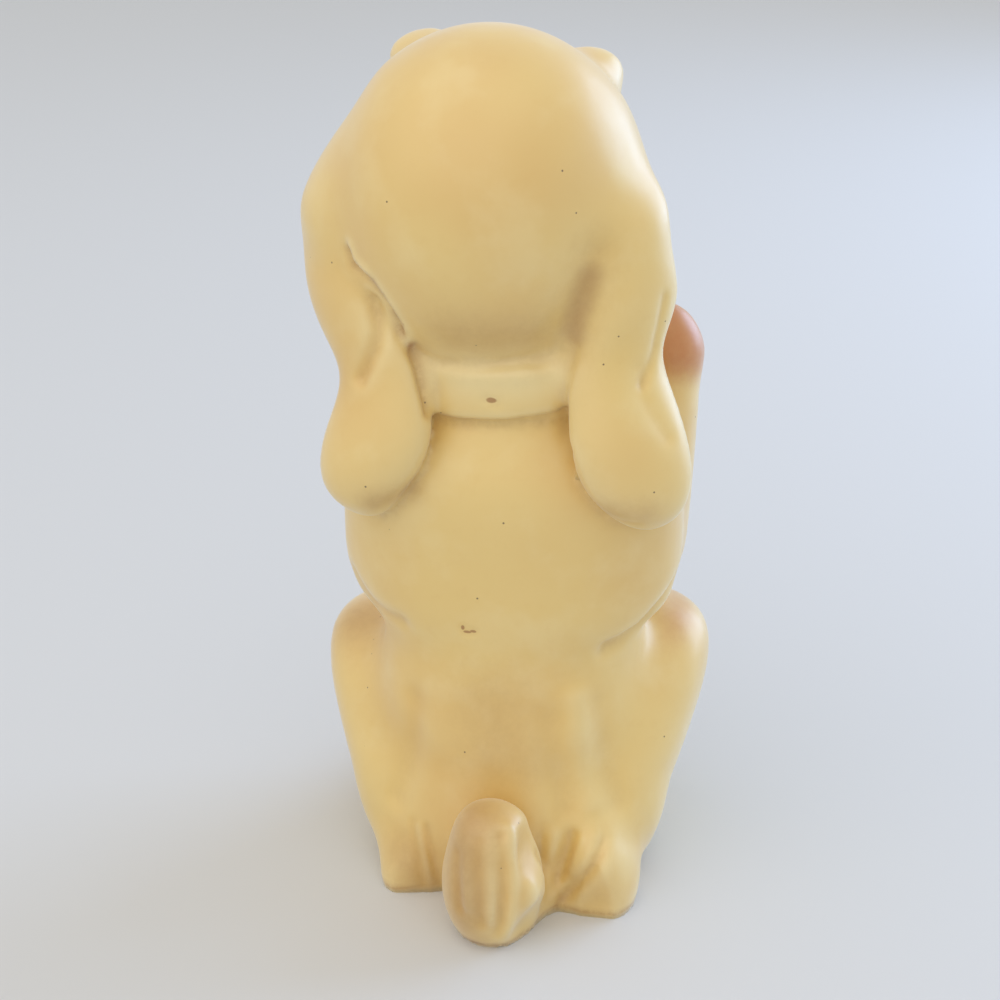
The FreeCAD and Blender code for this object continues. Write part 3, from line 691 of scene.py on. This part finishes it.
def sealed_plaster():
    """Cast plaster under a cream-yellow satin sealer, with blown-on tan, grime and painted shade in the creases,
    painted light on the collar's top and lit edges, brown painted shade, and pinholes.

    The clouds and the chalky ridges give the eye old, hand-laid sealer, the broad coat gives its waxy shine, and
    the pinholes and the fine tooth give the plaster under it.
    """
    material, node = new_material("sealed_plaster")
    place = node("TexCoord", output="Object")

    # The sealer lies in clouds, and is worn to the chalky plaster on the ridges.
    colour = linear(CREAM)
    for size, detail, roughness, low, high, strength, tone in CLOUDS:
        cloud = {"Vector": place, "Scale": per_size(size), "Detail": detail, "Roughness": roughness}
        step = {"Value": node("TexNoise", cloud), "From Min": low, "From Max": high, "To Max": strength}
        share = node("MapRange", step, **SOFT)
        colour = node("Mix", {0: share, 6: colour, 7: linear(tone)}, **COLOURS)
    # Painted light: the collar's top and the lit right edges are made as pale as the rubbed ridges and the mould
    # flash.
    rubbed = node("Attribute", output="Fac", attribute_name="rubbed")
    share = node("Math", {0: rubbed, 1: 0.65}, operation="MULTIPLY")
    colour = node("Mix", {0: share, 6: colour, 7: linear(CHALK_AND_LIGHT)}, **COLOURS)

    # Tan from the airbrush, and brown painted shade with some stain, both with a speckled edge.
    mist = node("TexNoise", {"Vector": place, "Scale": per_size(2.0), "Detail": 6, "Roughness": 0.7})
    for mark, broken, low, high, tone in SOAKED:
        laid = node("Attribute", output="Fac", attribute_name=mark)
        speckled = node("Math", {0: mist, 1: broken, 2: laid}, operation="MULTIPLY_ADD")
        step = {"Value": speckled, "From Min": low, "From Max": high, "To Max": 0.9}
        share = node("MapRange", step, **SOFT)
        colour = node("Mix", {0: share, 6: colour, 7: linear(tone)}, **COLOURS)

    # Grime and painted shade in the creases, and darker along the foot, in uneven patches.
    crease = node("Attribute", output="Fac", attribute_name="grime_and_shade")
    patches = node("TexNoise", {"Vector": place, "Scale": per_size(2.5), "Detail": 5, "Roughness": 0.65})
    uneven = node("MapRange", {"Value": patches, "From Min": 0.3, "From Max": 0.6, "To Min": 0.35}, **SOFT)
    grime_and_shade_patches = node("Math", {0: crease, 1: uneven}, operation="MULTIPLY")
    share = node("Math", {0: grime_and_shade_patches, 1: 0.85}, operation="MULTIPLY")
    colour = node("Mix", {0: share, 6: colour, 7: linear(DIRT_AND_SHADE)}, **COLOURS)

    # Pinholes of air in the cast, in a few of the cells only.
    cells = node("TexVoronoi", {"Vector": place, "Scale": per_size(PINHOLE_SPACING), "Randomness": 1.0})
    chance = node("SeparateColor", {"Color": cells.node.outputs["Color"]})
    rare = node("MapRange", {"Value": chance, "From Min": 0.93, "From Max": 0.95}, **SOFT)
    pit = {"Value": cells, "From Min": 0.05, "From Max": 0.10, "To Min": 1.0, "To Max": 0.0}
    hole = node("Math", {0: node("MapRange", pit, **SOFT), 1: rare}, operation="MULTIPLY")
    share = node("Math", {0: hole, 1: 0.8}, operation="MULTIPLY")
    colour = node("Mix", {0: share, 6: colour, 7: linear(DARK)}, **COLOURS)

    # The chip in the collar and the nick in the back, where dirt took the place of the sealer.
    for centre, radii in SPOTS:
        chip = {"Vector": place, "Location": Vector(centre) * MM, "Scale": Vector(radii) * MM}
        near = node("Mapping", chip, vector_type="TEXTURE")
        distance = node("VectorMath", {0: near}, "Value", operation="LENGTH")
        edge = {"Value": distance, "From Min": 0.7, "From Max": 1.1, "To Min": 0.75, "To Max": 0.0}
        colour = node("Mix", {0: node("MapRange", edge, **SOFT), 6: colour, 7: linear(DIRT_AND_SHADE)}, **COLOURS)

    # Satin that is duller where the grime and painted shade lie.
    satin = node("TexNoise", {"Vector": place, "Scale": per_size(5), "Detail": 4, "Roughness": 0.5})
    step = {"Value": satin, "From Min": 0.3, "From Max": 0.7, "To Min": 0.42, "To Max": 0.52}
    rough = node("Math", {0: grime_and_shade_patches, 1: 0.2, 2: node("MapRange", step, **SOFT)}, operation="MULTIPLY_ADD")
    # A skin that ripples, has a fine tooth, and falls into the pinholes.
    ripple = node("TexNoise", {"Vector": place, "Scale": per_size(9), "Detail": 2, "Roughness": 0.5})
    tooth = node("TexNoise", {"Vector": place, "Scale": per_size(0.7), "Detail": 3, "Roughness": 0.6})
    height = 0.0
    for relief, share in ((ripple, 0.5), (tooth, 0.05), (hole, -0.4)):
        height = node("Math", {0: relief, 1: share, 2: height}, operation="MULTIPLY_ADD")
    shader = {
        "Base Color": colour,
        "Roughness": rough,
        "Normal": node("Bump", {"Height": height, "Distance": 0.35 * MM, "Strength": 0.5}),
        "Coat Weight": 0.8,
        "Coat Roughness": 0.36,
        "Sheen Weight": 0.3,
        "Sheen Roughness": 0.4,
    }
    node("OutputMaterial", {"Surface": node("BsdfPrincipled", shader)})
    return material


def dark_gloss():
    """Brush-laid dark brown gloss paint on the eyes and the nose: wet-looking, with the brush's faint streaks."""
    material, node = new_material("dark_gloss_paint")
    place = node("TexCoord", output="Object")
    brush = {"Vector": place, "Scale": per_size(2.5), "Detail": 4, "Roughness": 0.6}
    streaks = node("MapRange", {"Value": node("TexNoise", brush), "From Min": 0.35, "From Max": 0.75}, **SOFT)
    ridges = node("TexNoise", {"Vector": place, "Scale": per_size(1.2), "Detail": 2, "Roughness": 0.5})
    shader = {
        "Base Color": node("Mix", {0: streaks, 6: linear("#1B120D"), 7: linear("#38241A")}, **COLOURS),
        "Roughness": node("MapRange", {"Value": streaks, "To Min": 0.16, "To Max": 0.3}, **SOFT),
        "Normal": node("Bump", {"Height": ridges, "Distance": 0.06 * MM, "Strength": 0.5}),
        "Coat Weight": 0.5,
        "Coat Roughness": 0.12,
    }
    node("OutputMaterial", {"Surface": node("BsdfPrincipled", shader)})
    return material


# Nose and eyes


# The nostrils: place on a ball of radius 1, and their depth and reach. The nose is wide above, flat at its sides.
NOSTRIL, NOSTRIL_DEPTH, NOSTRIL_REACH = (0.42, -0.82, -0.18), 0.28, 0.22
NOSE_FLARE, NOSE_SLOPE = 0.12, 0.10


def button(name):
    """A rounded painted form that fills the box of its solid: an eye, or the nose with its nostrils."""
    low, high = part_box(name)
    ball = bmesh.new()
    bmesh.ops.create_icosphere(ball, subdivisions=5, radius=1)
    half = (high - low) / 2
    for point in ball.verts:
        shape = point.co.copy()
        if name == "nose":
            for side in (-1, 1):
                hole = Vector((side * NOSTRIL[0], *NOSTRIL[1:]))
                shape *= 1 - NOSTRIL_DEPTH * math.exp(-(((point.co - hole).length / NOSTRIL_REACH) ** 2))
            shape.x *= 1 + NOSE_FLARE * point.co.z
            shape.z *= 1 - NOSE_SLOPE * abs(point.co.x)
        point.co = shape * half + (low + high) / 2
    mesh = bpy.data.meshes.new(name)
    ball.to_mesh(mesh)
    ball.free()
    mesh.shade_smooth()
    piece = bpy.data.objects.new(f"painted_{name}", mesh)
    bpy.context.scene.collection.objects.link(piece)
    return piece


# Assembly

plaster, gloss = sealed_plaster(), dark_gloss()
dressed = parted(sculpted_clay())
dressed.update({name: button(name) for name in PAINTED})
for node_name, piece in dressed.items():
    piece.data.materials.clear()
    piece.data.materials.append(gloss if node_name in PAINTED else plaster)
    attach(piece, "root")
    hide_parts(node_name)


# Table, light and camera


TABLE_HALF_WIDTH = 4.0


def table_top():
    """The plain pale table that the figure stands on."""
    top = bmesh.new()
    bmesh.ops.create_grid(top, x_segments=1, y_segments=1, size=TABLE_HALF_WIDTH)
    mesh = bpy.data.meshes.new("table_top")
    top.to_mesh(mesh)
    top.free()
    table = bpy.data.objects.new("table_top", mesh)
    bpy.context.scene.collection.objects.link(table)
    material, node = new_material("pale_table")
    shader = node("BsdfPrincipled", {"Base Color": linear("#D6D8D9"), "Roughness": 0.7})
    node("OutputMaterial", {"Surface": shader})
    mesh.materials.append(material)


# Lamps, read off the shine and shade in the photograph: place and size in metres, watts and colour. The window
# stands low, to the right of the figure and in front of it, and the ceiling light hangs high behind its back.
LAMPS = {
    "window": ((-0.74, -0.56, 0.40), (0.75, 0.7), 6.8, "#B4D2FF"),
    "ceiling": ((0.40, 0.75, 1.25), (2.2, 2.2), 11.0, "#FFF4E6"),
}
LAMP_AIM = (0, 0, 0.09)


def lamp(name, place, size, power, colour):
    """A soft rectangular lamp that faces the middle of the figure."""
    data = bpy.data.lights.new(name, "AREA")
    data.shape = "RECTANGLE"
    data.size, data.size_y = size
    data.energy = power
    data.color = linear(colour)[:3]
    light = bpy.data.objects.new(name, data)
    light.location = place
    light.rotation_euler = (Vector(LAMP_AIM) - light.location).to_track_quat("-Z", "Y").to_euler()
    bpy.context.scene.collection.objects.link(light)


# Strength of the light from all round. The camera, mirrored rays and rays through glass see plain white instead.
ROOM_LIGHT = 0.8


def surroundings():
    """Even white room light, and a white backdrop."""
    world = bpy.data.worlds.new("room")
    world.use_nodes = True
    world.node_tree.nodes.clear()
    node = functools.partial(add_node, world.node_tree)
    seen = node("LightPath", output="Is Camera Ray")
    rays = seen.node.outputs
    for kind in ("Is Glossy Ray", "Is Transmission Ray"):
        seen = node("Math", {0: seen, 1: rays[kind]}, operation="MAXIMUM")
    strength = node("MapRange", {"Value": seen, "To Min": ROOM_LIGHT, "To Max": 1.0})
    node("OutputWorld", {"Surface": node("Background", {"Strength": strength})})
    bpy.context.scene.world = world


# The photograph's camera: azimuth and height above the table in degrees, distance and aim in metres.
CAMERA_AZIMUTH = 189.0
CAMERA_HEIGHT = 23.0
CAMERA_DISTANCE = 0.375
CAMERA_AIM = Vector((0, 0, 0.085))
FIELD_OF_VIEW = 30.0
# Where the aim shows in the photograph, right of and above its middle, as a share of the width.
AIM_IN_PICTURE = (0.007, 0.022)


def camera():
    """The camera that took the photograph."""
    azimuth, height = math.radians(CAMERA_AZIMUTH), math.radians(CAMERA_HEIGHT)
    level = math.cos(height)
    back = Vector((math.sin(azimuth) * level, -math.cos(azimuth) * level, math.sin(height)))
    data = bpy.data.cameras.new("camera")
    data.angle = math.radians(FIELD_OF_VIEW)
    data.shift_x, data.shift_y = -AIM_IN_PICTURE[0], -AIM_IN_PICTURE[1]
    data.clip_start = 0.01
    view = bpy.data.objects.new("camera", data)
    view.location = CAMERA_AIM + back * CAMERA_DISTANCE
    view.rotation_euler = (-back).to_track_quat("-Z", "Y").to_euler()
    bpy.context.scene.collection.objects.link(view)
    bpy.context.scene.camera = view


table_top()
surroundings()
for lamp_name, (lamp_place, lamp_size, watts, tone) in LAMPS.items():
    lamp(lamp_name, lamp_place, lamp_size, watts, tone)
camera()
bpy.context.scene.view_settings.view_transform = "Standard"
